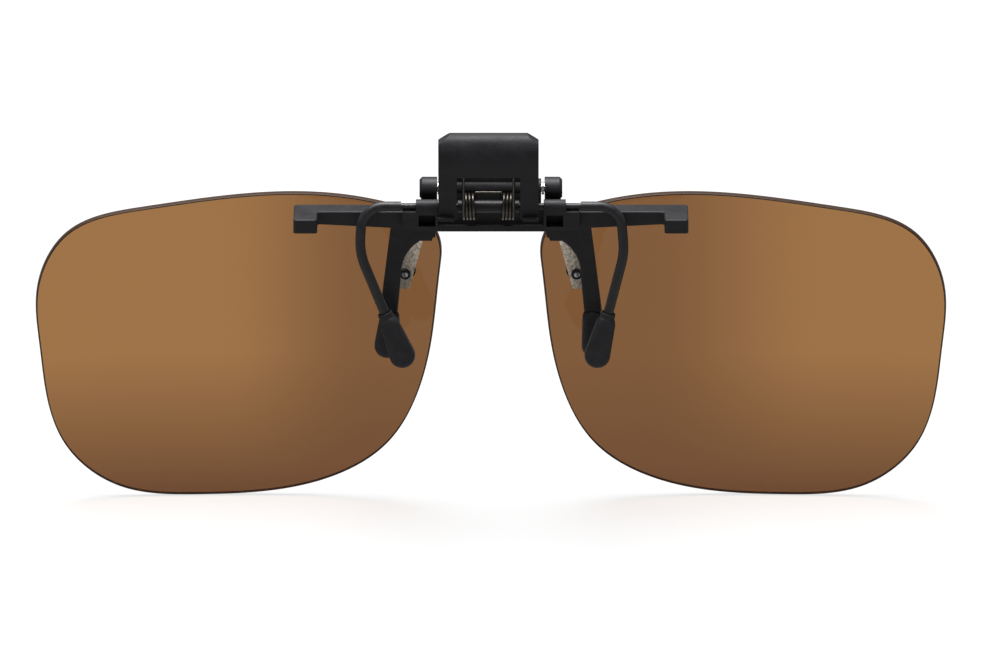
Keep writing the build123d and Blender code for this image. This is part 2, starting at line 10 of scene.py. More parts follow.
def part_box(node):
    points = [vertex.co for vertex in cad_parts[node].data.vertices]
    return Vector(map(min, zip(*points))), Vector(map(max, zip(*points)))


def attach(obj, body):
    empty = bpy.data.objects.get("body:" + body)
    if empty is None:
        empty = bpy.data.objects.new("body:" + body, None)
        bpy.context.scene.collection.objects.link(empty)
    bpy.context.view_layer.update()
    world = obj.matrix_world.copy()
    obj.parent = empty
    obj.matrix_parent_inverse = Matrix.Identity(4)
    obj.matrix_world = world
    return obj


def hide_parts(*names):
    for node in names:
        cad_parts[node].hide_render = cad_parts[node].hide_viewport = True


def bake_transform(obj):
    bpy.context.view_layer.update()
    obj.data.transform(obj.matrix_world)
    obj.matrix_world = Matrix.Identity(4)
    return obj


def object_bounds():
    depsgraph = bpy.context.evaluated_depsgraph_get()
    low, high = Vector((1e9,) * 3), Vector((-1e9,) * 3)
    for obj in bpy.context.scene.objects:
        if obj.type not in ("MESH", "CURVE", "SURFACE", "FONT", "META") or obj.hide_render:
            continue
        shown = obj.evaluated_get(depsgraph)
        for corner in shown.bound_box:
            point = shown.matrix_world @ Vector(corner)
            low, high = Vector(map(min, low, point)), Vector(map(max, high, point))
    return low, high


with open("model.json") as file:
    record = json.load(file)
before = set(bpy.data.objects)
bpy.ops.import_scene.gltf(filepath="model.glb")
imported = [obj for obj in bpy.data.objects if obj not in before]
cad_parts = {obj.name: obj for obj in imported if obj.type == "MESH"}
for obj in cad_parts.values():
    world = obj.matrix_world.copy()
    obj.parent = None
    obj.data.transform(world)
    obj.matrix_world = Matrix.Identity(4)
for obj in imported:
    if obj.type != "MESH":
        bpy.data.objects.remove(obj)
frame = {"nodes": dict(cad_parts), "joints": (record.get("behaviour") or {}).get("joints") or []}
cad_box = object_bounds()


# ---------------------------------------------------------------- clamp body
# The front half of the clamp: one black nylon moulding with the bar and its feet, the two legs,
# the lugs for the rear wire and the finger plate. Its tool was spark-eroded, so it has a fine
# dull grain, and its corners come out of the tool slightly rounded.

MM = 0.001
nodes = frame["nodes"]


class Number:
    """A number that varies from place to place. Arithmetic on it adds the Math nodes it needs."""

    def __init__(self, owner, socket):
        self.owner = owner
        self.socket = socket

    def __add__(self, other):
        return self.owner.maths("ADD", self, other)

    def __sub__(self, other):
        return self.owner.maths("SUBTRACT", self, other)

    def __rsub__(self, other):
        return self.owner.maths("SUBTRACT", other, self)

    def __mul__(self, other):
        return self.owner.maths("MULTIPLY", self, other)

    def __truediv__(self, other):
        return self.owner.maths("DIVIDE", self, other)

    def __pow__(self, other):
        return self.owner.maths("POWER", self, other)

    def __abs__(self):
        return self.owner.maths("ABSOLUTE", self)

    def clamped(self):
        """Held between 0 and 1."""
        return self.owner.maths("MINIMUM", self.owner.maths("MAXIMUM", self, 0.0), 1.0)

    __radd__ = __add__
    __rmul__ = __mul__


class NodeBook:
    """A node tree, and the one way that nodes are added to it."""

    def __init__(self, tree):
        self.tree = tree

    def node(self, kind, settings=None, sockets=None):
        made = self.tree.nodes.new(kind)
        for name, value in (settings or {}).items():
            setattr(made, name, value)
        for key, value in (sockets or {}).items():
            self.feed(made.inputs[key], value)
        return made

    def feed(self, socket, value):
        if isinstance(value, Number):
            value = value.socket
        if isinstance(value, bpy.types.NodeSocket):
            self.tree.links.new(value, socket)
        else:
            socket.default_value = value

    def number(self, socket):
        return Number(self, socket)

    def maths(self, operation, *values):
        made = self.node("ShaderNodeMath", {"operation": operation}, dict(enumerate(values)))
        return self.number(made.outputs[0])


class Finish(NodeBook):
    """A finish on the principled shader. Its grain is worked out from Object coordinates."""

    def __init__(self, name, colour, roughness, **uniform):
        self.material = bpy.data.materials.new(name)
        self.material.use_nodes = True
        super().__init__(self.material.node_tree)
        self.shader = self.tree.nodes["Principled BSDF"]
        self.place = self.node("ShaderNodeTexCoord").outputs["Object"]
        self.colour = colour
        self.set("Base Color", (*colour, 1.0))
        self.set("Roughness", roughness)
        for label, value in uniform.items():
            self.set(label.replace("_", " "), value)

    def set(self, label, value):
        self.feed(self.shader.inputs[label], value)

    def stretched(self, scale):
        """Object coordinates scaled along each axis: a larger scale packs the lumps closer."""
        return self.node("ShaderNodeMapping", None, {"Vector": self.place, "Scale": scale}).outputs[0]

    def noise(self, per_mm, detail=2.0, place=None):
        """Noise around zero, from about -0.5 to 0.5, with this many lumps to a millimetre."""
        made = self.node("ShaderNodeTexNoise", None, {
            "Vector": place or self.place, "Scale": per_mm / MM, "Detail": detail,
        })
        return self.number(made.outputs["Fac"]) - 0.5

    def axis(self, name):
        """Object coordinate along X, Y or Z, in millimetres."""
        parts = self.node("ShaderNodeSeparateXYZ", None, {0: self.place})
        return self.number(parts.outputs[name]) * (1 / MM)

    def blend(self, share, other):
        """The base colour mixed with another one by share. A colour Mix has its two at 6 and 7."""
        mix = self.node("ShaderNodeMix", {"data_type": "RGBA"}, {
            0: share, 6: (*self.colour, 1.0), 7: (*other, 1.0),
        })
        self.set("Base Color", mix.outputs[2])

    def relief(self, height, depth_mm, corner_mm=0.0):
        """Bump of this depth over the surface, with its sharp edges eased to a corner radius."""
        sockets = {"Height": height, "Distance": depth_mm * MM, "Strength": 1.0}
        if corner_mm:
            eased = self.node("ShaderNodeBevel", {"samples": 6}, {"Radius": corner_mm * MM})
            sockets["Normal"] = eased.outputs[0]
        self.set("Normal", self.node("ShaderNodeBump", None, sockets).outputs[0])


def moulded_black(name, colour, roughness, corner_mm):
    """Black moulded plastic: spark-eroded grain, slight flow marks, faint rubbed patches."""
    finish = Finish(name, colour, roughness, Specular_IOR_Level=0.12)
    grain = finish.noise(3.6, 3.0)
    flow = finish.noise(0.35, 3.0, finish.stretched((1.0, 1.0, 2.4)))
    rubbed = finish.noise(1.3, 4.0)
    finish.blend((0.35 + flow * 1.2 + rubbed * 0.8).clamped(), tuple(c * 2.2 for c in colour))
    finish.set("Roughness", roughness + flow * 0.22 + rubbed * 0.2 + grain * 0.15)
    finish.relief(grain + rubbed * 0.3, 0.02, corner_mm)
    return finish.material


def dress(material, *names):
    """Gives CAD nodes their finish."""
    for name in names:
        for slot in nodes[name].material_slots:
            slot.material = material


body_black = moulded_black("clamp_black", (0.0068, 0.0065, 0.0074), 0.5, 0.16)
dress(body_black, "clamp_body")


# ---------------------------------------------------------------- rubber pads
# Four black rubber shoes, two on the legs of the moulding and two on the ends of the rear wire.
# Each has a faint flash line round its edge, where the two halves of its mould met.

FLASH_WIDTH = 0.07
PAD_MIDDLE_Y = {"front_pad": 2.15, "rear_pad": -2.15}


def pad_rubber(name, middle_y):
    """Dull rubber with dust in its grain and a raised flash line at the middle of its thickness."""
    finish = Finish(name, (0.0072, 0.007, 0.0082), 0.62, Specular_IOR_Level=0.14)
    grain = finish.noise(5.0, 4.0)
    cloud = finish.noise(0.8, 3.0)
    away = abs(finish.axis("Y") - middle_y)
    flash = 1.0 - (away * (1 / FLASH_WIDTH)).clamped()
    finish.blend((0.3 + cloud * 1.3 + grain * 0.5 + flash * 0.8).clamped(), (0.02, 0.0195, 0.022))
    finish.set("Roughness", 0.62 + cloud * 0.25 + grain * 0.12)
    finish.relief(grain * 0.35 + flash, 0.03)
    return finish.material


for kind, middle_y in PAD_MIDDLE_Y.items():
    rubber = pad_rubber(f"{kind}_rubber", middle_y)
    dress(rubber, f"{kind}_left", f"{kind}_right")


# ---------------------------------------------------------------- flip pin and spring washers
# A ground steel pin pressed through the boss of the moulding, and the two thin washers whose
# friction holds the lenses up or down. Steel stock, ground along its length and oiled.

def ground_steel(name, colour, roughness, streaks, corner_mm=0.05):
    """Steel with fine streaks; streaks are the lumps to a millimetre along X, Y and Z."""
    finish = Finish(name, colour, roughness, Metallic=1.0)
    lines = finish.noise(1.0, 3.0, finish.stretched(streaks))
    oil = finish.noise(0.9, 3.0)
    finish.blend((0.4 + lines * 1.6 + oil * 0.6).clamped(), tuple(c * 0.55 for c in colour))
    finish.set("Roughness", roughness + lines * 0.25 + oil * 0.2)
    finish.relief(lines, 0.006, corner_mm)
    return finish.material


pin_steel = ground_steel("pin_steel", (0.42, 0.42, 0.41), 0.3, (1.2, 9.0, 9.0))
dress(pin_steel, "flip_pin", "spring_washers")


# ---------------------------------------------------------------- rear wire and its sleeving
# One spring-steel wire, blacked in oil, makes the axle and both rear legs. Black vinyl sleeving
# covers each leg from beside the lug down to its pad, and is glossier than the mouldings.

wire_black = Finish("blacked_wire", (0.018, 0.018, 0.02), 0.46, Metallic=0.85)
wire_lines = wire_black.noise(1.0, 3.0, wire_black.stretched((1.5, 8.0, 8.0)))
wire_spots = wire_black.noise(2.0, 4.0)
wire_black.blend((wire_spots * 3.0 + wire_lines - 0.2).clamped(), (0.07, 0.066, 0.06))
wire_black.set("Roughness", 0.46 + wire_spots * 0.3 + wire_lines * 0.2)
wire_black.relief(wire_lines + wire_spots * 0.5, 0.006)
dress(wire_black.material, "rear_wire")

vinyl = Finish("vinyl_sleeving", (0.0055, 0.0053, 0.0064), 0.42, Specular_IOR_Level=0.2)
vinyl_cloud = vinyl.noise(0.9, 4.0)
vinyl_grain = vinyl.noise(6.0, 3.0)
vinyl.blend((0.4 + vinyl_cloud * 1.4).clamped(), (0.011, 0.0108, 0.012))
vinyl.set("Roughness", 0.42 + vinyl_cloud * 0.24 + vinyl_grain * 0.12)
vinyl.relief(vinyl_cloud + vinyl_grain * 0.25, 0.02)
dress(vinyl.material, "wire_sleeve_left", "wire_sleeve_right")


# ---------------------------------------------------------------- thumb lever and spring bush
# The black lever that opens the clamp is a rolled plate with two cheeks fixed on the wire. The
# bush inside the spring is the same black plastic, turned and a little shinier.

lever_black = moulded_black("lever_black", (0.0064, 0.006, 0.007), 0.56, 0.14)
dress(lever_black, "thumb_lever")
bush_black = moulded_black("bush_black", (0.006, 0.006, 0.0065), 0.36, 0.05)
dress(bush_black, "spring_bush")


# ---------------------------------------------------------------- torsion spring
# A double torsion spring wound from one wire. Its bridge bears on the boss of the moulding and
# its two long legs push the lever. It is blacked in oil like the rear wire, and rubbed a little.

class Recipe(NodeBook):
    """A Geometry Nodes tree with named inputs, which is run once and leaves a plain mesh."""

    SOCKETS = {float: "NodeSocketFloat", int: "NodeSocketInt", tuple: "NodeSocketVector",
               bpy.types.Object: "NodeSocketObject"}

    def __init__(self, name, sizes):
        super().__init__(bpy.data.node_groups.new(name, "GeometryNodeTree"))
        face = self.tree.interface
        face.new_socket("Geometry", in_out="OUTPUT", socket_type="NodeSocketGeometry")
        self.sizes = sizes
        self.keys = {}
        for label, value in sizes.items():
            made = face.new_socket(label, in_out="INPUT", socket_type=self.SOCKETS[type(value)])
            self.keys[label] = made.identifier
        self.given = self.node("NodeGroupInput")

    def size(self, label):
        return self.number(self.given.outputs[label])

    def vector(self, x, y, z):
        return self.node("ShaderNodeCombineXYZ", None, {0: x, 1: y, 2: z}).outputs[0]

    def end(self, geometry, material):
        """Ends the tree, with every instance made real and in its finish."""
        real = self.node("GeometryNodeRealizeInstances", None, {0: geometry})
        done = self.node("GeometryNodeSetMaterial", None, {0: real.outputs[0], "Material": material})
        output = self.node("NodeGroupOutput")
        self.feed(output.inputs[0], done.outputs[0])

    def made(self, name):
        """A new object with the mesh that the tree makes."""
        blank = added(name + "_blank", bpy.data.meshes.new(name + "_blank"))
        modifier = blank.modifiers.new(name, "NODES")
        modifier.node_group = self.tree
        for label, value in self.sizes.items():
            modifier[self.keys[label]] = value
        return plain(blank, name)


def added(name, data):
    """A new object in the scene, with this mesh, lamp or camera."""
    made = bpy.data.objects.new(name, data)
    bpy.context.scene.collection.objects.link(made)
    return made


def plain(source, name):
    """The source with its modifiers carried out, as a new plain mesh object. The source goes."""
    bpy.context.view_layer.update()
    evaluated = source.evaluated_get(bpy.context.evaluated_depsgraph_get())
    mesh = bpy.data.meshes.new_from_object(evaluated)
    mesh.name = name
    bpy.data.objects.remove(source)
    return added(name, mesh)


COIL_RADIUS = 1.8
FULL_TURN = 2 * math.pi
WIRE_FACETS = 14
axle = next(joint for joint in frame["joints"] if joint["name"] == "clamp_squeeze")["pos_m"]
spring_low, spring_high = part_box("torsion_spring")
spring_middle_x = (spring_low.x + spring_high.x) / 2
spring_sizes = {
    "Turns": 3.5, "Pitch": 0.5, "Coil Radius": COIL_RADIUS, "Wire Radius": 0.22,
    "Inner X": 1.95, "Bridge Height": 1.45, "Bridge Lean": 0.21,
    "Leg Height": (spring_high.z - axle[2]) / MM, "Points": 900,
}

spring_steel = ground_steel("spring_steel", (0.055, 0.05, 0.043), 0.36, (7.0, 2.0, 2.0), 0.0)
spring = Recipe("wound_spring", spring_sizes)
line = spring.node("GeometryNodeCurvePrimitiveLine", None, {"Start": (-1, 0, 0), "End": (1, 0, 0)})
beads = spring.node("GeometryNodeResampleCurve", None, {
    "Curve": line.outputs[0], "Count": spring.size("Points"),
})
where = spring.node("GeometryNodeSplineParameter")
signed = spring.number(where.outputs["Factor"]) * 2.0 - 1.0
side = spring.maths("SIGN", signed)
# The wire from the middle of the bridge: along the bridge, down its riser, round the coil, up the leg
coil_length = spring.size("Turns") * spring.size("Coil Radius") * FULL_TURN
coil_start = spring.size("Inner X") + spring.size("Bridge Height")
run = abs(signed) * (coil_start + coil_length + spring.size("Leg Height"))
along_bridge = (run / spring.size("Inner X")).clamped()
down_riser = ((run - spring.size("Inner X")) / spring.size("Bridge Height")).clamped()
round_coil = ((run - coil_start) / coil_length).clamped()
up_leg = ((run - coil_start - coil_length) / spring.size("Leg Height")).clamped()
above_coil = 1.0 - down_riser
angle = round_coil * spring.size("Turns") * FULL_TURN
coil_x = round_coil * spring.size("Turns") * spring.size("Pitch")
x = side * (along_bridge * spring.size("Inner X") + coil_x)
y = spring.size("Coil Radius") * spring.maths("COSINE", angle) + spring.size("Bridge Lean") * above_coil
drop = spring.size("Coil Radius") * spring.maths("SINE", angle)
z = spring.size("Bridge Height") * above_coil - drop + spring.size("Leg Height") * up_leg
bent = spring.node("GeometryNodeSetPosition", None, {
    "Geometry": beads.outputs[0], "Position": spring.vector(x, y, z),
})
soft = spring.node("GeometryNodeCurveSplineType", {"spline_type": "NURBS"}, {"Curve": bent.outputs[0]})
even = spring.node("GeometryNodeResampleCurve", None, {
    "Curve": soft.outputs[0], "Count": spring.size("Points"),
})
section = spring.node("GeometryNodeCurvePrimitiveCircle", None, {
    "Resolution": WIRE_FACETS, "Radius": spring.size("Wire Radius"),
})
drawn = spring.node("GeometryNodeCurveToMesh", None, {
    "Curve": even.outputs[0], "Profile Curve": section.outputs[0], "Fill Caps": True,
})
placed = spring.node("GeometryNodeTransform", None, {
    "Geometry": drawn.outputs[0], "Scale": (MM, MM, MM),
    "Translation": (spring_middle_x, axle[1], axle[2]),
})
spring.end(placed.outputs[0], spring_steel)
wound = spring.made("wound_spring")
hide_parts("torsion_spring")
# Where the front and the rear of each coil are, level with the lever's axle
front = (0.0, axle[1] + COIL_RADIUS * MM, axle[2])
rear = (0.0, axle[1] - COIL_RADIUS * MM, axle[2])
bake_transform(wound)


# ---------------------------------------------------------------- flip bridge, tabs and rivets
# The bridge turns on the flip pin and carries both lenses. A stamped stainless tab is riveted to
# each of its feet. The tabs were brushed along their length before they were stamped.

bridge_black = moulded_black("bridge_black", (0.0078, 0.0074, 0.0084), 0.47, 0.12)
dress(bridge_black, "flip_bridge")
tab_steel = Finish("tab_steel", (0.5, 0.44, 0.365), 0.42, Metallic=1.0)
brushing = tab_steel.noise(1.0, 3.0, tab_steel.stretched((6.0, 6.0, 1.4)))
speckle = tab_steel.noise(3.2, 2.0)
tab_steel.blend((0.42 + brushing * 1.5 + speckle * 2.4).clamped(), (0.17, 0.15, 0.125))
tab_steel.set("Roughness", 0.42 + brushing * 0.3 + speckle * 0.25)
tab_steel.relief(brushing + speckle, 0.012, 0.06)
dress(tab_steel.material, "lens_tab_left", "lens_tab_right")
dress(pin_steel, "tab_rivets")


# ---------------------------------------------------------------- lenses
# Two brown polarised lenses, cut without a rim from a shallow sphere and drilled for two screws
# each. Their faces are polished; the cut edge is ground matt, with its corners rounded off.

LENS_SPHERE = 200.0
LENS_THICKNESS = 1.1
LENS_FRONT_Y = 10.3
LENS_CENTRE = (37.4, LENS_FRONT_Y - LENS_SPHERE, -21.2)  # of the +X lens's sphere
SCREW_PLACES = [(12.6, -9.6), (13.4, -6.0)]
SCREW_HOLE = 0.55
SEAT_GAP = 0.03  # left free between the lens and the tab or washer that lies on it
EDGE_ROUND = 0.18
EDGE_STEPS = 4
OUTLINE_POINTS = 220
SPAN_STEPS = 8  # between two points of the solid's edge
HOLE_POINTS = 28
GRID_STEP = 1.6
GRID_TO_EDGE = 0.7
AROUND_HOLE = 1.2  # nearer than this to a screw place there is only the hole and its edge
FACES_FRONT = 0.8  # a lens's faces point along Y at least this much,
FACES_SIDE = 0.3  # and its cut walls at most this much
MERGE_DISTANCE = 1e-6  # in metres
KEEP_INSIDE = 1  # what the triangulation keeps: only what is inside the outline
TOUCHING = 1e-5


def cut_outline(node, sign):
    """The lens's outline seen from the front, in order, read off the solid's front edge."""
    work = bmesh.new()
    work.from_mesh(node.data)
    bmesh.ops.remove_doubles(work, verts=work.verts, dist=MERGE_DISTANCE)
    flat = {v: Vector((v.co.x * sign, v.co.z)) / MM for v in work.verts}
    after = {}
    for edge in work.edges:
        facing = [face.normal.y for face in edge.link_faces]
        on_front_edge = max(facing) > FACES_FRONT and min(map(abs, facing)) < FACES_SIDE
        spot = flat[edge.verts[0]]
        at_hole = any((spot - Vector(place)).length < AROUND_HOLE for place in SCREW_PLACES)
        if on_front_edge and not at_hole:
            for one, two in (edge.verts, reversed(edge.verts)):
                after.setdefault(one, []).append(two)
    start = next(iter(after))
    loop = [start, after[start][0]]
    while loop[-1] != start:
        loop.append(next(v for v in after[loop[-1]] if v != loop[-2]))
    points = [flat[v] for v in loop[:-1]]
    work.free()
    return points


def spaced(points, count):
    """The same closed line with evenly spaced points, smooth between the given ones."""
    size = len(points)
    fine = []
    for i in range(size):
        # The curve runs from b to c, with the slopes there set by their neighbours
        a, b, c, d = (points[(i + k) % size] for k in (-1, 0, 1, 2))
        for step in range(SPAN_STEPS):
            t = step / SPAN_STEPS
            fine.append(0.5 * (2 * b + (c - a) * t + (2 * a - 5 * b + 4 * c - d) * t ** 2
                               + (3 * b - a - 3 * c + d) * t ** 3))
    lengths = [0.0]
    for one, two in zip(fine, fine[1:] + fine[:1]):
        lengths.append(lengths[-1] + (two - one).length)
    even, at = [], 0
    for k in range(count):
        wanted = lengths[-1] * k / count
        while lengths[at + 1] < wanted:
            at += 1
        share = (wanted - lengths[at]) / (lengths[at + 1] - lengths[at])
        even.append(fine[at].lerp(fine[(at + 1) % len(fine)], share))
    return even


def inset(points, distance):
    """A closed line moved inwards by a distance."""
    count = len(points)
    area = sum(points[i].cross(points[(i + 1) % count]) for i in range(count))
    moved = []
    for i, point in enumerate(points):
        run = (points[(i + 1) % count] - points[i - 1]).normalized()
        inward = Vector((-run.y, run.x)) if area > 0 else Vector((run.y, -run.x))
        moved.append(point + inward * distance)
    return moved


def inside(point, loop):
    """True where a point is within a closed line."""
    hit = False
    for one, two in zip(loop, loop[1:] + loop[:1]):
        if (one.y > point.y) != (two.y > point.y):
            cross = one.x + (point.y - one.y) * (two.x - one.x) / (two.y - one.y)
            hit ^= point.x < cross
    return hit


def circle(count):
    """Evenly spaced points of a circle of radius 1."""
    turns = [FULL_TURN * k / count for k in range(count)]
    return [Vector((math.cos(t), math.sin(t))) for t in turns]


def on_sphere(point, depth, sign):
    """The place on the lens's front, or this depth below it, in metres."""
    dx, dz = point.x - LENS_CENTRE[0], point.y - LENS_CENTRE[2]
    out = Vector((dx, math.sqrt(LENS_SPHERE ** 2 - dx * dx - dz * dz), dz))
    spot = Vector(LENS_CENTRE) + out * ((LENS_SPHERE - depth) / LENS_SPHERE)
    return Vector((spot.x * sign, spot.y, spot.z)) * MM


def flat_mesh(outline, holes):
    """Triangles inside an outline and outside its holes, with even points between."""
    points = list(outline)
    edges = [(i, (i + 1) % len(outline)) for i in range(len(outline))]
    for hole in holes:
        base = len(points)
        points += hole
        edges += [(base + i, base + (i + 1) % len(hole)) for i in range(len(hole))]
    guard = inset(outline, GRID_TO_EDGE)
    xs, zs = [p.x for p in outline], [p.y for p in outline]
    rows = int((max(zs) - min(zs)) / GRID_STEP) + 1
    columns = int((max(xs) - min(xs)) / GRID_STEP) + 2
    for row in range(rows):
        for column in range(columns):
            spot = Vector((min(xs) + (column + row % 2 / 2) * GRID_STEP, min(zs) + row * GRID_STEP))
            clear = all((spot - Vector(place)).length > AROUND_HOLE for place in SCREW_PLACES)
            if clear and inside(spot, guard):
                points.append(spot)
    border = [list(range(len(outline)))]
    corners, _, faces, *_ = delaunay_2d_cdt(points, edges, border, KEEP_INSIDE, TOUCHING)
    kept = []
    for face in faces:
        middle = sum((corners[i] for i in face), Vector((0, 0))) / len(face)
        if not any(inside(middle, hole) for hole in holes):
            kept.append(face)
    return corners, kept


def cut_lens(name, sign):
    """One lens: two polished faces, a ground edge with rounded corners and two drilled holes."""
    outline = spaced(cut_outline(nodes[name], sign), OUTLINE_POINTS)
    spokes = [spoke * SCREW_HOLE for spoke in circle(HOLE_POINTS)]
    holes = [[Vector(place) + spoke for spoke in spokes] for place in SCREW_PLACES]
    eased = inset(outline, EDGE_ROUND)
    corners, faces = flat_mesh(eased, holes)
    work = bmesh.new()
    layers = {}
    back = LENS_THICKNESS - SEAT_GAP
    for depth in (0.0, back):
        layers[depth] = [work.verts.new(on_sphere(p, depth, sign)) for p in corners]
        for face in faces:
            work.faces.new([layers[depth][i] for i in face]).material_index = 0
    rings = [[layers[0.0][i] for i in range(OUTLINE_POINTS)]]
    turns = [math.pi / 2 * k / EDGE_STEPS for k in range(1, EDGE_STEPS + 1)]
    rounding = [(EDGE_ROUND * (1 - math.sin(t)), EDGE_ROUND * (1 - math.cos(t))) for t in turns]
    rounding += [(inwards, back - depth) for inwards, depth in reversed(rounding)]
    for inwards, depth in rounding:
        rings.append([work.verts.new(on_sphere(p, depth, sign)) for p in inset(outline, inwards)])
    rings.append([layers[back][i] for i in range(OUTLINE_POINTS)])
    walls = list(zip(rings, rings[1:]))
    first = OUTLINE_POINTS
    for hole in holes:
        picks = range(first, first + len(hole))
        walls.append(([layers[0.0][i] for i in picks], [layers[back][i] for i in picks]))
        first += len(hole)
    for upper, lower in walls:
        for i in range(len(upper)):
            j = (i + 1) % len(upper)
            work.faces.new((upper[i], upper[j], lower[j], lower[i])).material_index = 1
    bmesh.ops.recalc_face_normals(work, faces=work.faces)
    mesh = bpy.data.meshes.new(name + "_cut")
    for face in work.faces:
        face.smooth = True
    for edge in work.edges:
        edge.smooth = len({face.material_index for face in edge.link_faces}) == 1
    work.to_mesh(mesh)
    work.free()
    return added(name + "_cut", mesh)


PALE_BROWN = (0.305, 0.15, 0.053)
# The darker brown that paints shade on the lens by the nose and at the bottom
PAINTED_SHADE_BROWN = (0.142, 0.062, 0.0255)
SHADOW_BROWN = (0.6, 0.42, 0.28, 1.0)  # the light that a lens lets through to its shadow
NOSE_SHADE_X = 45.0  # painted shade starts to deepen the tint here, towards the nose
NOSE_SHADE_WIDTH = 25.0
NOSE_SHADE_SHARE = 0.7
NOSE_SHADE_SHIFT = 0.11  # it starts a little further out on the +X lens, and further in on the other
LOW_SHADE_Z = -22.9  # and the painted shade also starts here, towards the bottom
LOW_SHADE_HEIGHT = 20.9


def brown_tint_and_shade():
    """Brown polarised resin, palest at the top by the temple, with painted shade that darkens it by the
    nose and at the bottom.
    """
    finish = Finish("brown_lens", PALE_BROWN, 0.0, Transmission_Weight=1.0, IOR=1.2)
    across = finish.axis("X")
    nosewards = ((NOSE_SHADE_X - abs(across) + across * NOSE_SHADE_SHIFT) / NOSE_SHADE_WIDTH).clamped()
    nosewards = nosewards * nosewards * (3.0 - 2.0 * nosewards) * NOSE_SHADE_SHARE
    downwards = ((LOW_SHADE_Z - finish.axis("Z")) / LOW_SHADE_HEIGHT).clamped()
    cloud = finish.noise(0.03, 2.0)
    # The painted shade: the tint darkened towards the nose and the bottom, with a faint random cloud in
    # it
    painted_shade = 1.0 - (1.0 - nosewards) * (1.0 - downwards) + cloud * 0.06
    finish.blend(painted_shade.clamped(), PAINTED_SHADE_BROWN)
    clear = finish.node("ShaderNodeBsdfTransparent", None, {"Color": SHADOW_BROWN})
    rays = finish.node("ShaderNodeLightPath")
    mix = finish.node("ShaderNodeMixShader", None, {
        0: rays.outputs["Is Shadow Ray"], 1: finish.shader.outputs[0], 2: clear.outputs[0],
    })
    finish.feed(finish.tree.nodes["Material Output"].inputs["Surface"], mix.outputs[0])
    return finish.material


def ground_edge():
    """The cut edge: deep brown, ground matt round the lens."""
    finish = Finish("ground_lens_edge", (0.010, 0.0048, 0.0026), 0.5, Specular_IOR_Level=0.12)
    marks = finish.noise(3.0, 3.0)
    finish.blend((0.4 + marks * 1.6).clamped(), (0.034, 0.017, 0.009))
    finish.set("Roughness", 0.5 + marks * 0.3)
    finish.relief(marks, 0.01)
    return finish.material


lens_brown = brown_tint_and_shade()
lens_edge = ground_edge()
for name, sign in (("lens_left", -1), ("lens_right", 1)):
    lens = cut_lens(name, sign)
    lens.data.materials.append(lens_brown)
    lens.data.materials.append(lens_edge)
    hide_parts(name)
    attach(lens, "lens_carrier")


# ---------------------------------------------------------------- lens screws, washers and nuts
# Each lens hangs on two slotted screws, through a black nylon washer, the lens and the tab, into
# a round blacked nut. They were driven by hand, so their slots point different ways.

TURNED_STEPS = 40
SHARP_CORNER = math.radians(30)
SLOT_WIDTH = 0.3
SLOT_FLOOR = 1.7
SLOT_CUTTER = (2.9, SLOT_WIDTH, 1.0)  # longer than the head is wide, and taller than the slot is deep


def turned(name, profile):
    """A part turned about +Z. Its profile is (radius, height) points: off the axis, it has a bore."""
    work = bmesh.new()
    rows = []
    for radius, height in profile:
        if radius == 0:
            rows.append([work.verts.new((0, 0, height * MM))] * TURNED_STEPS)
        else:
            spots = [Vector((*(spoke * radius), height)) * MM for spoke in circle(TURNED_STEPS)]
            rows.append([work.verts.new(spot) for spot in spots])
    bored = profile[0][0] > 0
    lower_rows = rows[1:] + rows[:1] if bored else rows[1:]
    for upper, lower in zip(rows, lower_rows):
        for i in range(TURNED_STEPS):
            j = (i + 1) % TURNED_STEPS
            corners = dict.fromkeys((upper[i], upper[j], lower[j], lower[i]))
            work.faces.new(list(corners))
    bmesh.ops.recalc_face_normals(work, faces=work.faces)
    mesh = bpy.data.meshes.new(name)
    work.to_mesh(mesh)
    work.free()
    return added(name, mesh)


def slotted(piece):
    """The part with a driver slot milled across its head."""
    length, width, height = SLOT_CUTTER
    cutter = added("driver_slot", bpy.data.meshes.new("driver_slot"))
    work = bmesh.new()
    bmesh.ops.create_cube(work, size=MM)
    bmesh.ops.scale(work, verts=work.verts, vec=(length, width, height))
    bmesh.ops.translate(work, verts=work.verts, vec=(0, 0, (SLOT_FLOOR + height / 2) * MM))
    work.to_mesh(cutter.data)
    work.free()
    milling = piece.modifiers.new("slot", "BOOLEAN")
    milling.object = cutter
    milling.solver = "EXACT"
    finished = plain(piece, piece.name)
    bpy.data.objects.remove(cutter)
    return finished


def smoothed(piece, material):
    """The part in its finish, smooth where it is round and sharp at its corners."""
    for face in piece.data.polygons:
        face.use_smooth = True
    piece.data.set_sharp_from_angle(angle=SHARP_CORNER)
    piece.data.materials.append(material)
    return piece


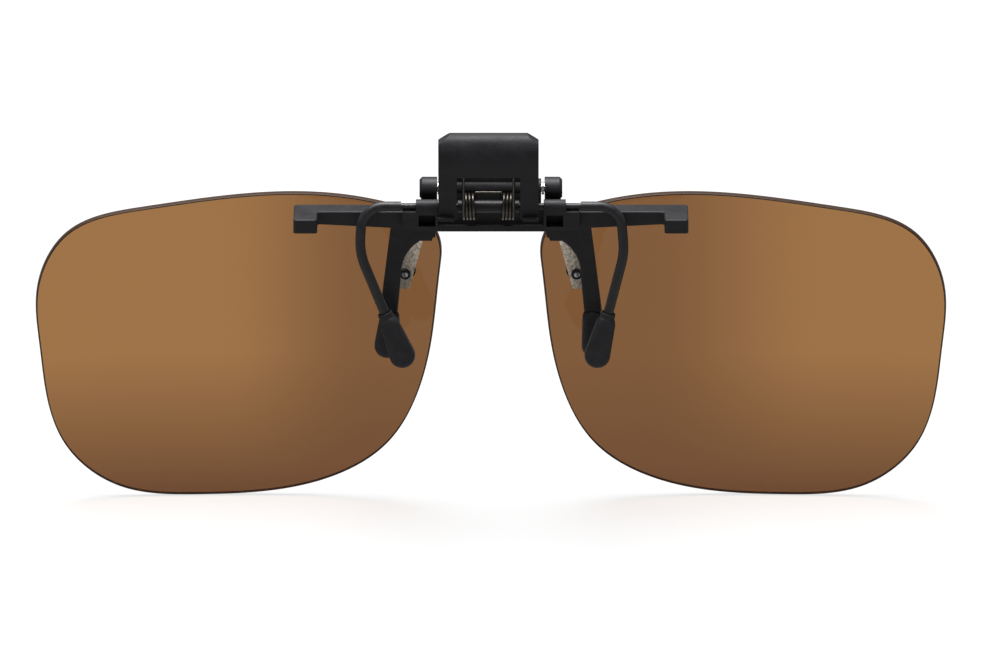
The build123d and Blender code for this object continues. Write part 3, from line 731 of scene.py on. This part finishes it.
def lens_fixings(name, master, material):
    """The same turned part at every screw place on both lenses, square to the lens."""
    (first_x, first_z), (second_x, second_z) = SCREW_PLACES
    sizes = {
        "Part": master, "Count": len(SCREW_PLACES), "Seed": 4,
        "First": (first_x, first_z, 0.0), "Step": (second_x - first_x, second_z - first_z, 0.0),
        "Sphere Radius": LENS_SPHERE - LENS_THICKNESS,
        "Centre X": LENS_CENTRE[0], "Centre Y": LENS_CENTRE[1], "Centre Z": LENS_CENTRE[2],
    }
    recipe = Recipe(name + "_rule", sizes)
    index = recipe.number(recipe.node("GeometryNodeInputIndex").outputs[0])
    first = recipe.node("ShaderNodeSeparateXYZ", None, {0: recipe.given.outputs["First"]})
    step = recipe.node("ShaderNodeSeparateXYZ", None, {0: recipe.given.outputs["Step"]})
    across = recipe.number(first.outputs[0]) + index * recipe.number(step.outputs[0])
    height = recipe.number(first.outputs[1]) + index * recipe.number(step.outputs[1])
    dx = across - recipe.size("Centre X")
    dz = height - recipe.size("Centre Z")
    rise = recipe.maths("SQRT", recipe.size("Sphere Radius") ** 2 - dx * dx - dz * dz)
    joined = recipe.node("GeometryNodeJoinGeometry")
    part = recipe.node("GeometryNodeObjectInfo", None, {"Object": recipe.given.outputs["Part"]})
    # How far each was driven, as an angle from 0 to half a turn: a number's limits are at 2 and 3
    driven = recipe.node("FunctionNodeRandomValue", {"data_type": "FLOAT"}, {
        2: 0.0, 3: math.pi, "Seed": recipe.given.outputs["Seed"],
    })
    for sign in (1.0, -1.0):
        seat = recipe.vector(across * sign * MM, (rise + recipe.size("Centre Y")) * MM, height * MM)
        points = recipe.node("GeometryNodePoints", None, {
            "Count": recipe.given.outputs["Count"], "Position": seat,
        })
        outwards = recipe.vector(dx * sign, rise, dz)
        aligned = recipe.node("FunctionNodeAlignRotationToVector", {"axis": "Z"}, {"Vector": outwards})
        twist = recipe.vector(0.0, 0.0, recipe.number(driven.outputs[1]) * sign)
        spun = recipe.node("FunctionNodeRotateRotation", {"rotation_space": "LOCAL"}, {
            0: aligned.outputs[0], 1: twist,
        })
        placed_parts = recipe.node("GeometryNodeInstanceOnPoints", None, {
            "Points": points.outputs[0], "Instance": part.outputs["Geometry"],
            "Rotation": spun.outputs[0],
        })
        recipe.feed(joined.inputs[0], placed_parts.outputs[0])
    recipe.end(joined.outputs[0], material)
    piece = recipe.made(name)
    bpy.data.objects.remove(master)
    return piece


TAB_THICKNESS = 0.5
WASHER_BOTTOM = LENS_THICKNESS + 0.02
WASHER_TOP = 1.35
THREAD_RADIUS = 0.5
screw_steel = ground_steel("screw_steel", (0.3, 0.3, 0.31), 0.34, (6.0, 6.0, 6.0), 0.03)
nut_black = ground_steel("nut_black", (0.03, 0.03, 0.032), 0.4, (5.0, 5.0, 5.0), 0.03)
washer_black = moulded_black("washer_nylon", (0.005, 0.005, 0.0055), 0.35, 0.05)

# Profiles as (radius, height), with the height measured outwards from the back of the lens
screw_profile = [
    (0.0, -0.95), (0.34, -0.95), (0.38, -0.93), (THREAD_RADIUS, -0.78), (THREAD_RADIUS, WASHER_TOP),
    (1.06, WASHER_TOP), (1.1, 1.4), (1.1, 1.62), (1.03, 1.77), (0.86, 1.88), (0.6, 1.93), (0.3, 1.945),
    (0.0, 1.95),
]
washer_profile = [
    (0.52, WASHER_BOTTOM), (1.29, WASHER_BOTTOM), (1.35, 1.18), (1.35, 1.29), (1.29, WASHER_TOP),
    (0.52, WASHER_TOP),
]
nut_profile = [
    (THREAD_RADIUS, -TAB_THICKNESS), (0.8, -TAB_THICKNESS), (0.8, -0.78), (0.7, -0.9), (0.6, -0.9),
    (THREAD_RADIUS, -0.78),
]
fixing_kinds = {
    "lens_screws": (screw_profile, screw_steel, "screw_steel"),
    "lens_washers": (washer_profile, washer_black, "washer_plastic"),
    "lens_nuts": (nut_profile, nut_black, "nut_black"),
}
for name, (profile, material, slot_name) in fixing_kinds.items():
    master = turned(name + "_master", profile)
    if name == "lens_screws":
        master = slotted(master)
    fixings = lens_fixings(name + "_set", smoothed(master, material), material)
    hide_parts(name)
    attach(fixings, "lens_carrier")


# ---------------------------------------------------------------- studio
# A plain table of opal acrylic, lit evenly from below, in a white room. One soft round lamp hangs
# over it, and the camera looks at the wearer's side, from a little above.

FLOOR_HALF = 3.0
FLOOR_GAP = 0.00005
floor_z = cad_box[0][2] - FLOOR_GAP
floor_mesh = bpy.data.meshes.new("table")
corners = [(-FLOOR_HALF, -FLOOR_HALF), (FLOOR_HALF, -FLOOR_HALF), (FLOOR_HALF, FLOOR_HALF),
           (-FLOOR_HALF, FLOOR_HALF)]
floor_mesh.from_pydata([(x, y, floor_z) for x, y in corners], [], [(0, 1, 2, 3)])
opal = Finish("opal_table", (0.09, 0.09, 0.09), 0.7, Specular_IOR_Level=0.1, Emission_Strength=0.74)
opal.set("Emission Color", (1.0, 1.0, 1.0, 1.0))
floor_mesh.materials.append(opal.material)
added("table", floor_mesh)

room = bpy.data.worlds.new("white_room")
room.use_nodes = True
walls = room.node_tree.nodes["Background"]
walls.inputs["Color"].default_value = (1, 1, 1, 1)
walls.inputs["Strength"].default_value = 0.35
bpy.context.scene.world = room
bpy.context.scene.view_settings.view_transform = "Standard"

LAMP_AIM = Vector((0, 0, -0.02))
lamp = bpy.data.lights.new("soft_lamp", "AREA")
lamp.shape = "DISK"
lamp.size = 0.5
lamp.energy = 17.0
lamp_stand = added("soft_lamp", lamp)
lamp_stand.location = (-0.06, 0.08, 0.6)
lamp_stand.rotation_euler = (LAMP_AIM - lamp_stand.location).to_track_quat("-Z", "Y").to_euler()

VIEW_WIDTH = 0.1475
VIEW_ELEVATION = math.radians(20)
VIEW_DISTANCE = 1.6
VIEW_AIM = Vector((0.00134, 0.0, -0.01644))
camera = bpy.data.cameras.new("camera")
camera.sensor_width = 36.0
camera.lens = camera.sensor_width * VIEW_DISTANCE / VIEW_WIDTH
towards_camera = Vector((0.0, -math.cos(VIEW_ELEVATION), math.sin(VIEW_ELEVATION)))
camera_stand = added("camera", camera)
camera_stand.location = VIEW_AIM + towards_camera * VIEW_DISTANCE
camera_stand.rotation_euler = towards_camera.to_track_quat("Z", "Y").to_euler()
bpy.context.scene.camera = camera_stand
